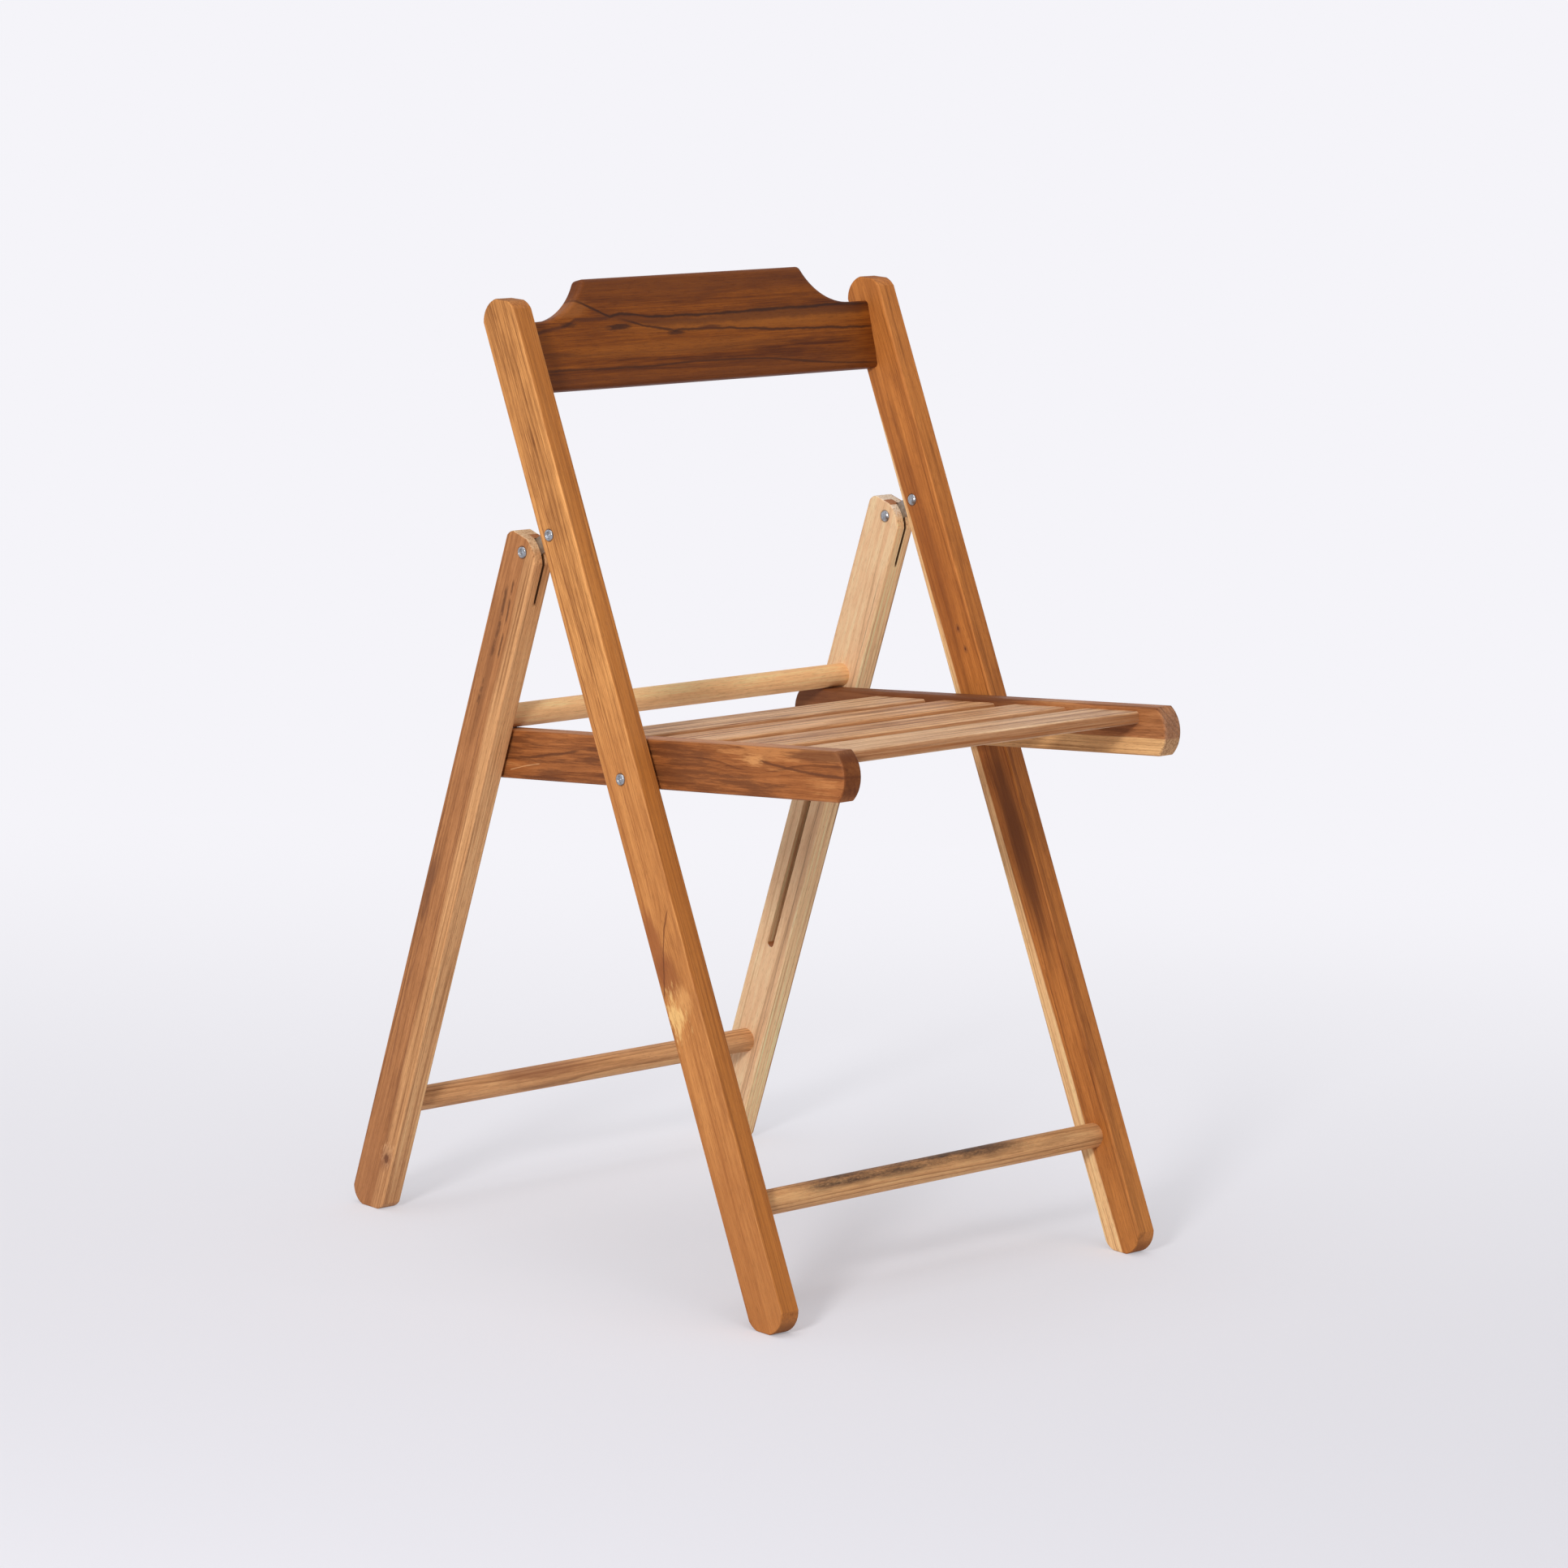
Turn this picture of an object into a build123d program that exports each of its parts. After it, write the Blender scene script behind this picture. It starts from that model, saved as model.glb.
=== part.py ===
from build123d import *
import math
import os

# A slatted wooden folding chair, standing open on its four feet.
# Millimetres and degrees. +X is the sitter's left, +Y the rear, +Z up.

# Frame
frame_width = 440.0          # across the outer faces of the legs
leg_thickness = 20.0
leg_depth = 40.0
front_leg_height = 793.0
front_lean = 25.0            # front legs lean backwards
rear_lean = 16.3             # rear legs lean forwards
tight_corner = 0.58 * leg_depth     # side of the corner that is cut off
foot_corner = 0.40 * leg_depth
loose_corner = 0.16 * leg_depth
heel_corner = 0.14 * leg_depth
crown_corner = 0.42 * leg_depth
nape_corner = 0.16 * leg_depth
corner_bulge = 0.22          # of the way from a straight cut to the square corner
leg_ease = 1.5               # rounding of the legs' edges

# Seat
seat_pivot_height = 420.6
seat_pivot_offset = 1.2      # behind the front leg's centre line
seat_tilt = 6.3              # front edge up
rail_height = 41.0
rail_thickness = 20.0
rail_pivot_rise = 9.7        # pivot above the rail's lower edge
rail_front = 234.5           # pivot to nose
rail_rear = 206.5            # pivot to rear end
rail_bow = 9.5               # rounding of the rail's ends, from corner to tip
rail_ease = 2.5
rail_gap = 3.5               # between rail and leg
slat_count = 4
slat_width = 62.0
slat_pitch = 83.0
slat_thickness = 10.5
slat_drop = 4.0              # slat tops below the rail tops
slat_from_nose = 60.0        # nose to the first slat's middle
slat_ease = 3.0

# Back rail
back_lean = 16.5
back_below_top = 52.2        # leg top to the rail's datum, along the leg
back_setback = 1.3           # rail's front face behind the leg's centre line
back_thickness = 15.0
back_below = 28.5            # heights from the datum
back_shoulder = 30.0
back_above = 63.0
back_land = 20.0             # flat shoulder beside each leg
back_arc = 61.0              # radius of the scooped corners
back_corner = 5.0
back_ease = 4.0

# Rungs
rung_diameter = 21.0
stop_diameter = 20.0
rung_height = 95.0
stop_gap = 0.3               # stop rung above the rail tops

# Hinges: flat links let into the legs, turning on tubular rivets
hinge_rise = 210.0           # seat pivot to front hinge, along the leg
front_rivet_inset = 11.2     # rivet to the front leg's rear face
rear_rivet_inset = 17.4      # rivet to the rear leg's front face
rear_rivet_depth = 12.3      # rivet below the rear leg's top
link_length = 36.8
link_droop = 30.0            # link below horizontal with the chair open
link_swing = 42.8            # link's turn while the chair folds
rear_swing = 84.1            # rear leg's turn on the link meanwhile
link_width = 14.0
link_thickness = 2.0
kerf_play = 0.3              # each side of the link
kerf_margin = 1.0            # round the link's edge
rear_kerf_reach = 42.0       # saw cut below the rear rivet

# Rivets, pins and spacers
rivet_diameter = 6.0
head_diameter = 9.8
dome_height = 2.2
rim_height = 1.4
rivet_bore = 4.0
rivet_bore_depth = 9.0
spacer_diameter = 16.0
spacer_play = 0.2
pin_diameter = 5.0
pin_seat = 12.0              # length of pin inside the rail
pin_tip = 0.8
groove_width = 8.0
groove_depth = 9.0
groove_offset = 0.7          # groove behind the rear leg's centre line
groove_above_pin = 6.0
groove_end_below_rivet = 418.0
pin_drop = 4.0               # pin below the height of the seat pivot
pin_lead = 1.0               # open chair: pin in front of the groove's middle
pin_end_play = 1.5

# Joinery
running_fit = 0.05           # radial clearance of turning parts
glue_gap = 0.1
tenon_end_gap = 0.5
rung_spigot = 14.0           # diameter
rung_tenon = 12.0
slat_tenon = 9.0
slat_shoulder = 2.0          # slat outline to tenon outline
back_tenon = 11.0
back_tenon_thickness = 7.0
back_tenon_height = 34.0

# Positions worked out from the sizes
outer = frame_width / 2
inner = outer - leg_thickness
middle = (outer + inner) / 2
rail_outer = inner - rail_gap
rail_inner = rail_outer - rail_thickness
rail_top = rail_height - rail_pivot_rise
half_depth = leg_depth / 2
kerf_radius = link_width / 2 + kerf_margin
far = 2 * leg_depth          # well outside a leg


def sine(angle):
    return math.sin(math.radians(angle))


def cosine(angle):
    return math.cos(math.radians(angle))


def side_plane(origin, tilt):
    """Side view of a member: local x to the rear, local y up, normal +X."""
    return Plane(origin=origin, x_dir=(0, cosine(tilt), sine(tilt)), z_dir=(1, 0, 0))


def spot(plane, x, y):
    return plane.from_local_coords(Vector(x, y, 0))


def at_height(plane, x, height):
    """Local y of the point of this plane at local x and a height above the floor."""
    return (height - spot(plane, x, 0).Z) / plane.y_dir.Z


def outline(corners, radii):
    return make_face(FilletPolyline(*corners, radius=radii, close=True))


def cut_outline(corners, cuts):
    """A polygon whose corners are cut off along flat arcs that meet the sides at an angle."""
    points = [Vector(*corner) for corner in corners]
    arcs = []
    for index, (corner, cut) in enumerate(zip(points, cuts)):
        before = corner + (points[index - 1] - corner).normalized() * cut
        after = corner + (points[(index + 1) % len(points)] - corner).normalized() * cut
        chord = (before + after) / 2
        arcs.append(ThreePointArc(before, chord + (corner - chord) * corner_bulge, after))
    sides = [Line(arc @ 1, arcs[(index + 1) % len(arcs)] @ 0) for index, arc in enumerate(arcs)]
    return make_face(arcs + sides)


def across(plane, face, low, high):
    """A flat outline carried across the chair, from x = low to x = high."""
    return Pos(low, 0, 0) * extrude(plane * face, amount=high - low, dir=(1, 0, 0))


def disc(x, y, diameter):
    return Pos(x, y, 0) * Circle(diameter / 2)


def eased(bar, radius):
    """Round the edges of both side faces of a bar cut from the side."""
    sides = bar.faces().sort_by(Axis.X)
    return fillet(sides[0].edges() + sides[-1].edges(), radius)


def link_ray(angle, turn, length):
    """Corners of a strip's edge: half a kerf beside a ray, near and far end."""
    side = (kerf_radius * cosine(angle + turn), kerf_radius * sine(angle + turn))
    reach = (side[0] + length * cosine(angle), side[1] + length * sine(angle))
    return side, reach


# Side views of the four moving bodies
front = side_plane((0, 0, 0), -front_lean)
pivot_along = at_height(front, seat_pivot_offset, seat_pivot_height)
seat_pivot = spot(front, seat_pivot_offset, pivot_along)
seat = side_plane(seat_pivot, -seat_tilt)
front_hinge_x = half_depth - front_rivet_inset
front_hinge_y = pivot_along + hinge_rise
front_hinge = spot(front, front_hinge_x, front_hinge_y)
link = side_plane(front_hinge, -link_droop)
rear_hinge = spot(link, link_length, 0)
rear = side_plane(rear_hinge, rear_lean)
rear_middle = half_depth - rear_rivet_inset

# Guide pin a little below the seat pivot, near the groove's middle
groove_x = rear_middle + groove_offset
pin_x = groove_x - pin_lead
pin_y = at_height(rear, pin_x, seat_pivot_height - pin_drop)

# Stop rung on the rear legs' centre line, just above the rail tops
rung_front_y = at_height(front, 0, rung_height)
rung_rear_y = at_height(rear, rear_middle, rung_height)
rise_at_rivet = seat.to_local_coords(spot(rear, rear_middle, 0)).Y
rise_per_length = seat.to_local_coords(spot(rear, rear_middle, 1)).Y - rise_at_rivet
stop_y = (rail_top + stop_diameter / 2 + stop_gap - rise_at_rivet) / rise_per_length


def rung_socket(plane, x, y):
    depth = inner + rung_tenon + tenon_end_gap
    return across(plane, disc(x, y, rung_spigot + 2 * glue_gap), inner, depth)


def rivet_hole(plane, x, y):
    return across(plane, disc(x, y, rivet_diameter + 2 * running_fit), 0, far + outer)


def kerf(plane, x, y, corners):
    """Slot for the link in the middle of a leg, round a rivet at (x, y)."""
    face = disc(x, y, 2 * kerf_radius)
    face += Pos(x, y, 0) * make_face(Polyline(*corners, close=True))
    half = link_thickness / 2 + kerf_play
    return across(plane, face, middle - half, middle + half)


def back_rail_plane():
    top = at_height(front, 0, front_leg_height)
    origin = spot(front, back_setback, top - back_below_top)
    return Plane(origin=origin, x_dir=(1, 0, 0), z_dir=(0, -cosine(back_lean), sine(back_lean)))


def back_tenon_block(length, gap):
    """Tenon, or with a gap its mortise, at the +X end of the back rail."""
    size = (length, back_tenon_height + 2 * gap, back_tenon_thickness + 2 * gap)
    middle_y = (back_shoulder - back_below) / 2
    block = Pos(inner + length / 2, middle_y, -back_thickness / 2) * Box(*size)
    return back_rail_plane() * block


def front_leg():
    corners = []
    for height, sides in ((0, (-1, 1)), (front_leg_height, (1, -1))):
        for side in sides:
            x = side * half_depth
            corners.append((x, at_height(front, x, height)))
    cuts = (tight_corner, loose_corner, tight_corner, loose_corner)
    leg = eased(across(front, cut_outline(corners, cuts), inner, outer), leg_ease)
    rest = front_lean - link_droop
    low_near, low_far = link_ray(rest, -90, far)
    high_near, high_far = link_ray(rest + link_swing, 90, far)
    leg -= kerf(front, front_hinge_x, front_hinge_y, (low_near, low_far, high_far, high_near))
    leg -= rivet_hole(front, front_hinge_x, front_hinge_y)
    leg -= rivet_hole(front, seat_pivot_offset, pivot_along)
    leg -= rung_socket(front, 0, rung_front_y)
    leg -= back_tenon_block(back_tenon + tenon_end_gap, glue_gap)
    return leg


def rear_leg():
    face_x = -rear_rivet_inset
    back_x = face_x + leg_depth
    corners = (
        (face_x, at_height(rear, face_x, 0)),
        (back_x, at_height(rear, back_x, 0)),
        (back_x, rear_rivet_depth),
        (face_x, rear_rivet_depth),
    )
    cuts = (heel_corner, foot_corner, nape_corner, crown_corner)
    leg = eased(across(rear, cut_outline(corners, cuts), inner, outer), leg_ease)
    to_front_rivet = 180 - rear_lean - link_droop
    high_near, high_far = link_ray(to_front_rivet, -90, far)
    low_near = link_ray(to_front_rivet + rear_swing, 90, far)[0]
    ramp = -rear_kerf_reach
    leg -= kerf(rear, 0, 0, (high_near, high_far, (-far, ramp), (face_x, ramp), low_near))
    leg -= rivet_hole(rear, 0, 0)
    leg -= rung_socket(rear, rear_middle, rung_rear_y)
    leg -= rung_socket(rear, rear_middle, stop_y)
    top = pin_y + groove_above_pin
    run = disc(groove_x, top, groove_width) + disc(groove_x, -groove_end_below_rivet, groove_width)
    length = top + groove_end_below_rivet
    run += Pos(groove_x, top - length / 2, 0) * Rectangle(groove_width, length)
    leg -= across(rear, run, inner, inner + groove_depth)
    return leg


def rung(plane, x, y, diameter):
    bar = across(plane, disc(x, y, diameter), -inner, inner)
    reach = inner + rung_tenon
    return bar + across(plane, disc(x, y, rung_spigot), -reach, reach)


def slat_outline(place, inset):
    """Section of one slat in the seat's side view, or of its tenon."""
    half = slat_width / 2 - inset
    top = rail_top - slat_drop - inset
    low = rail_top - slat_drop - slat_thickness + inset
    corners = ((place - half, low), (place + half, low), (place + half, top), (place - half, top))
    return outline(corners, slat_ease - inset)


def slat_place(index):
    return slat_from_nose - rail_front + index * slat_pitch


def slat(index):
    place = slat_place(index)
    board = across(seat, slat_outline(place, 0), -rail_inner, rail_inner)
    reach = rail_inner + slat_tenon
    return board + across(seat, slat_outline(place, slat_shoulder), -reach, reach)


def seat_rail():
    low = -rail_pivot_rise
    half_height = (rail_top + low) / 2
    ends = []
    spans = ((-rail_front, rail_bow, rail_top, low), (rail_rear, -rail_bow, low, rail_top))
    for tip, bow, start, end in spans:
        ends.append(ThreePointArc((tip + bow, start), (tip, half_height), (tip + bow, end)))
    nose, tail = ends
    edges = [nose, Line(nose @ 1, tail @ 0), tail, Line(tail @ 1, nose @ 0)]
    rail = eased(across(seat, make_face(edges), rail_inner, rail_outer), rail_ease)
    depth = rail_inner + slat_tenon + tenon_end_gap
    for index in range(slat_count):
        mortise = slat_outline(slat_place(index), slat_shoulder - glue_gap)
        rail -= across(seat, mortise, rail_inner, depth)
    rail -= rivet_hole(seat, 0, 0)
    rail -= across(rear, disc(pin_x, pin_y, pin_diameter + 2 * running_fit),
                   rail_outer - pin_seat, rail_outer)
    return rail


def back_rail():
    arc_rise = back_arc - (back_above - back_shoulder)
    land = inner - back_land
    crest = land - math.sqrt(back_arc ** 2 - arc_rise ** 2)
    bend = math.atan2(arc_rise, land - crest) / 2 + math.pi / 4
    belly = (land - back_arc * math.cos(bend), back_shoulder + back_arc * (1 - math.sin(bend)))
    edges = [
        Line((-inner, -back_below), (inner, -back_below)),
        Line((inner, -back_below), (inner, back_shoulder)),
        Line((inner, back_shoulder), (land, back_shoulder)),
        ThreePointArc((land, back_shoulder), belly, (crest, back_above)),
        Line((crest, back_above), (-crest, back_above)),
        ThreePointArc((-crest, back_above), (-belly[0], belly[1]), (-land, back_shoulder)),
        Line((-land, back_shoulder), (-inner, back_shoulder)),
        Line((-inner, back_shoulder), (-inner, -back_below)),
    ]
    face = make_face(edges)
    crests = face.vertices().filter_by(lambda v: abs(abs(v.X) - crest) < glue_gap)
    face = fillet(crests, back_corner)
    board = extrude(face, amount=-back_thickness, dir=(0, 0, 1))
    sides = board.faces().sort_by(Axis.Z)
    rims = sides[0].edges() + sides[-1].edges()
    board = fillet(rims.filter_by(lambda e: abs(e.center().X) < inner - glue_gap), back_ease)
    tenon = back_tenon_block(back_tenon, 0)
    return back_rail_plane() * board + tenon + mirror(tenon, about=Plane.YZ)


def hinge_link():
    plate = Pos(link_length / 2, 0, 0) * SlotCenterToCenter(link_length, link_width)
    for x in (0, link_length):
        plate -= disc(x, 0, rivet_diameter + 2 * running_fit)
    half = link_thickness / 2
    return across(link, plate, middle - half, middle + half)


def rivet(place, head):
    """Tubular rivet: domed head at x = head, rolled rim on the leg's outer face."""
    radius = rivet_diameter / 2
    bore = rivet_bore / 2
    brim = head_diameter / 2
    bottom = outer - rivet_bore_depth
    dome_chord = Vector(head - dome_height, 0), Vector(head, brim)
    dome = RadiusArc(*dome_chord, (brim ** 2 + dome_height ** 2) / (2 * dome_height))
    rim = ThreePointArc((outer, brim), (outer + rim_height, (brim + bore) / 2), (outer, bore))
    stem = Polyline((head, brim), (head, radius), (outer, radius), (outer, brim))
    hollow = Polyline((outer, bore), (bottom, bore), (bottom, 0), (head - dome_height, 0))
    profile = make_face(dome.edges() + stem.edges() + rim.edges() + hollow.edges())
    return Pos(0, place.Y, place.Z) * revolve(profile, axis=Axis.X)


def pivot_spacer():
    ring = disc(0, 0, spacer_diameter) - disc(0, 0, rivet_diameter + 2 * glue_gap)
    return across(seat, ring, rail_outer + spacer_play, inner)


def guide_pin():
    tip = inner + groove_depth - pin_end_play
    rod = across(rear, disc(pin_x, pin_y, pin_diameter), rail_outer - pin_seat, tip)
    return chamfer(rod.faces().sort_by(Axis.X)[-1].edges(), pin_tip)


pairs = {
    "front_leg": front_leg(),
    "rear_leg": rear_leg(),
    "seat_rail": seat_rail(),
    "hinge_link": hinge_link(),
    "front_hinge_rivet": rivet(front_hinge, inner),
    "rear_hinge_rivet": rivet(rear_hinge, inner),
    "seat_pivot_rivet": rivet(seat_pivot, rail_inner - spacer_play),
    "pivot_spacer": pivot_spacer(),
    "guide_pin": guide_pin(),
}
nodes = {
    "back_rail": back_rail(),
    "front_rung": rung(front, 0, rung_front_y, rung_diameter),
    "rear_rung": rung(rear, rear_middle, rung_rear_y, rung_diameter),
    "stop_rung": rung(rear, rear_middle, stop_y, stop_diameter),
}
for index in range(slat_count):
    nodes[f"seat_slat_{index + 1}"] = slat(index)
for name, solid in pairs.items():
    nodes[f"{name}_left"] = solid
    nodes[f"{name}_right"] = mirror(solid, about=Plane.YZ)

# The origin is on the floor under the middle of the open chair
box = Compound(children=[node.solid() for node in nodes.values()]).bounding_box()
to_origin = Pos(0, -(box.min.Y + box.max.Y) / 2, -box.min.Z)

os.makedirs("parts", exist_ok=True)
for name, solid in nodes.items():
    export_step(to_origin * solid, f"parts/{name}.step")
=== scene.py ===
# %% [markdown]
# # A slatted wooden folding chair
# The chair is made of oiled hardwood: two leaning front legs with a dark back rail let into them,
# a seat of four slats between two rails, two rear legs, three round rungs, and steel rivets.
# Its shapes come from the CAD frame, which is loaded first and never moved.
# This lesson gives every piece the wood that it was cut from, turns the rivets' heads, and then lays a
# floor and sets the light and the camera.

# %% Load the frame
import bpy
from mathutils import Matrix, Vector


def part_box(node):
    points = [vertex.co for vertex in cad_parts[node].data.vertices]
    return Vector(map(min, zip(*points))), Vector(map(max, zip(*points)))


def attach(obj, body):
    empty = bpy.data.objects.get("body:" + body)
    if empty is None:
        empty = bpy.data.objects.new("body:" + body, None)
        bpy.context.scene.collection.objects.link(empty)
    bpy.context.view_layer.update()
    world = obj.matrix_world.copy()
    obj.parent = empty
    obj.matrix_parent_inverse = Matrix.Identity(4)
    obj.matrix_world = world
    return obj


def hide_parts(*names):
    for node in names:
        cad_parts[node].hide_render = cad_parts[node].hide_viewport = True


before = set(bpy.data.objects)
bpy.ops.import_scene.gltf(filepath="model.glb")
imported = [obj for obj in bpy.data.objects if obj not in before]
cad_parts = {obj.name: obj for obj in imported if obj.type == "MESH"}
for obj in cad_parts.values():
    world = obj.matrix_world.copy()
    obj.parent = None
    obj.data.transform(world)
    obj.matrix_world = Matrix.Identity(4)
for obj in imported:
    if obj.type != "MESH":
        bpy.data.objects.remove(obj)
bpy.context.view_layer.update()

# %% [markdown]
# ## Sums on sockets
# A wood shader is mostly arithmetic on the place in the wood. Its nodes could be added and linked one
# by one, but then the sums are hard to read. One small class wraps a socket instead, so that a sum is
# written as Python, and one method makes any other node.

# %% A socket that can be added and multiplied
import bpy


class Wire:
    """A socket of a node tree. A sum on wires adds Math nodes."""

    def __init__(self, socket):
        self.socket = socket
        self.tree = socket.id_data

    def node(self, kind, sockets, output=0, stops=(), **settings):
        """Adds a node of any kind: its settings and stops first, then values or links."""
        made = self.tree.nodes.new(kind if "Node" in kind else "ShaderNode" + kind)
        for name, value in settings.items():
            setattr(made, name, value)
        for count, (position, value) in enumerate(stops):
            ramp = kind == "ValToRGB"
            row = made.color_ramp.elements if ramp else made.mapping.curves[0].points
            if count >= len(row):
                row.new(position, *([] if ramp else [value]))
            if ramp:
                row[count].position = position
                row[count].color = value
            else:
                row[count].location = (position, value)
        for name, value in sockets.items():
            if isinstance(value, Wire):
                self.tree.links.new(value.socket, made.inputs[name])
            else:
                made.inputs[name].default_value = value
        return Wire(made.outputs[output])

    def sum(self, operation, first, second=0.0):
        """Adds one Math node on wires or numbers."""
        return self.node("Math", {0: first, 1: second}, operation=operation)

    def __add__(self, other):
        return self.sum("ADD", self, other)

    def __sub__(self, other):
        return self.sum("SUBTRACT", self, other)

    def __rsub__(self, other):
        return self.sum("SUBTRACT", other, self)

    def __mul__(self, other):
        return self.sum("MULTIPLY", self, other)

    def __truediv__(self, other):
        return self.sum("DIVIDE", self, other)

    def __abs__(self):
        return self.sum("ABSOLUTE", self)

    __radd__ = __add__
    __rmul__ = __mul__


print("Sums ready:", [name for name in vars(Wire) if name.startswith("__") and name != "__init__"])

# %% [markdown]
# ## Colours and soft steps
# Every finish below needs the same few steps: a colour written as a screen shows it, a soft threshold,
# one colour laid over another, and a fresh material. Repeating their nodes for each board would bury the
# wood under wiring, so each step is a small function.

# %% Helpers that shaders share


def srgb(red, green, blue):
    """A colour as a painter reads it from a screen, 0 to 255, turned into Blender's linear values."""
    linear = [((part / 255 + 0.055) / 1.055) ** 2.4 for part in (red, green, blue)]
    return (*linear, 1.0)


def smooth(value, low, high):
    """Rises softly from 0 at low to 1 at high, or falls where high is the lower one."""
    ends = {"Value": value, "From Min": low, "From Max": high}
    return value.node("MapRange", ends, interpolation_type="SMOOTHSTEP")


def tint(amount, under, over):
    """Lays one colour over another by an amount from 0 to 1."""
    return amount.node("Mix", {0: amount, 6: under, 7: over}, output=2, data_type="RGBA")


def blank(name):
    """A new material, its shader, and a wire for the place on the object."""
    material = bpy.data.materials.new(name)
    material.use_nodes = True
    nodes = material.node_tree.nodes
    place = Wire(nodes.new("ShaderNodeTexCoord").outputs["Object"])
    return material, nodes["Principled BSDF"], place


def plug(shader, **inputs):
    """Links wires to a shader's sockets, or sets their values."""
    for name, value in inputs.items():
        socket = shader.inputs[name.replace("_", " ")]
        if isinstance(value, Wire):
            value.tree.links.new(value.socket, socket)
        else:
            socket.default_value = value


print("White is", srgb(255, 255, 255))

# %% [markdown]
# ## Which way the grain runs
# Each piece was sawn with the grain along its length. The direction could be typed in for every leg
# and rail, but the frame already has it: the longest spread of a piece's surface is its grain, the next
# is its width, and what is left is its thickness.

# %% Find a board's own directions
import numpy as np

MILLIMETRES = 1000
ROUND_RATIO = 1.2  # below this the two short sides are alike, as on a rung


def board_axes(name):
    """The middle of a node's surface, and its directions along, across and through the board."""
    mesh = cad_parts[name].data
    mesh.calc_loop_triangles()
    points = np.array([vertex.co for vertex in mesh.vertices])
    corners = points[[triangle.vertices[:] for triangle in mesh.loop_triangles]]
    area = np.array([triangle.area for triangle in mesh.loop_triangles])
    middle = np.average(corners.mean(axis=1), axis=0, weights=area)
    corners = corners - middle
    total = corners.sum(axis=1)
    spread = np.einsum("n,nij,nik->jk", area, corners, corners)
    spread = spread + np.einsum("n,nj,nk->jk", area, total, total)
    strength, ways = np.linalg.eigh(spread)
    along = ways[:, 2] * np.sign(ways[np.abs(ways[:, 2]).argmax(), 2])
    across = ways[:, 1] * np.sign(ways[np.abs(ways[:, 1]).argmax(), 1])
    if strength[1] < strength[0] * ROUND_RATIO:
        across = np.array((0.0, 0.0, 1.0))
    return middle, along, across, np.cross(along, across)


print("Front leg grain:", board_axes("front_leg_left")[1].round(3))

# %% [markdown]
# ## A place in the board
# A carpenter finds a spot by measuring along a board, across it and through it, and so do these shaders,
# in millimetres. Grain runs far along a board and changes fast across it, but Blender's noise is as long
# as it is wide. So each noise is read at a place that was first divided by a length along the grain and
# by a width across and through it, and a seed moves it, so that no two boards are alike.

# %% Measure a board and stretch noise along it
DIRECTIONS = ("along", "across", "through")


class Board:
    """The place in one board, in millimetres along its grain, across it and through it."""

    def __init__(self, place, name, seed):
        middle, *ways = board_axes(name)
        self.place = place
        self.seed = seed
        self.axes = dict(zip(DIRECTIONS, ways))
        offset = place.node("VectorMath", {0: place, 1: middle}, operation="SUBTRACT")
        self.along, self.across, self.through = [
            offset.node("VectorMath", {0: offset, 1: way * MILLIMETRES}, "Value", operation="DOT_PRODUCT")
            for way in ways]
        self.spot = offset.node("CombineXYZ", {0: self.along, 1: self.across, 2: self.through})

    def noise(self, length, width, detail=2.0, roughness=0.5):
        """Noise with waves of this length along the grain, and of this width across and through it."""
        steps = (1 / length, 1 / width, 1 / width)
        start = (self.seed, self.seed, self.seed)
        where = self.spot.node("VectorMath", {0: self.spot, 1: steps, 2: start}, operation="MULTIPLY_ADD")
        sockets = {"Vector": where, "Scale": 1, "Detail": detail, "Roughness": roughness}
        return where.node("TexNoise", sockets)


print("Boards are measured", ", ".join(DIRECTIONS))

# %% [markdown]
# ## Growth rings
# A tree adds a ring each year, pale early in the season and dark at its end. A flat picture of stripes
# would break at every edge, so the rings are cylinders round a pith line that lies beside the board,
# bent by slow noise, and each face shows its own cut through them: lines on the sides, arcs on the ends.
# A swirl lifts the rings round one spot, which is how the wood grows round a buried twig.

# %% Rings round a pith line
YEAR_DARKENS = (0.3, 0.92)  # shares of a ring's width
YEAR_ENDS = (1.0, 0.94)


def ring_lines(board, pith, ring, bend, swirls):
    """How dark the season's end is at each place, and a number that each year has for itself.

    A swirl is a place along and across, a length and a width, and how far it lifts the rings.
    """
    aside = board.across - pith[0]
    deep = board.through - pith[1]
    radius = board.place.sum("SQRT", aside * aside + deep * deep)
    radius = radius + (board.noise(260, 45, 1.0) - 0.5) * bend
    radius = radius + (board.noise(75, 14) - 0.5) * (bend / 4)
    for along, across, length, width, lift in swirls:
        far = (board.along - along) / length
        wide = (board.across - across) / width
        radius = radius + board.place.sum("EXPONENT", (far * far + wide * wide) * -1) * lift
    year = radius / ring
    part = board.place.sum("FRACT", year)
    number = board.place.sum("FLOOR", year) + board.seed
    luck = number.node("TexWhiteNoise", {"W": number}, noise_dimensions="1D")
    late = smooth(part, *YEAR_DARKENS) * smooth(part, *YEAR_ENDS)
    return late, luck


print("A ring darkens over these shares of its width:", YEAR_DARKENS)

# %% [markdown]
# ## Shades of one wood, and its faces
# One board shows its wood in many shades, and darker wood is also redder. A second typed-in colour for
# each shade could clash with the first, so the shades are worked out from one tone. Sawn ends and edges
# look different from the faces, so a second function finds the faces by the way that they look.

# %% Find shades and faces
PALEST = 0.92  # the largest share of light that any wood throws back
FACING_LEAN = (0.55, 0.9)  # cosines of the lean where a face starts to count and where it counts fully


def darker(tone, share):
    """A deeper shade of a wood, where the blue goes first and the red last, or with over 1 a paler one."""
    parts = (tone[0] * share, tone[1] * share ** 1.25, tone[2] * share ** 1.5)
    return (*[min(part, PALEST) for part in parts], 1.0)


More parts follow.
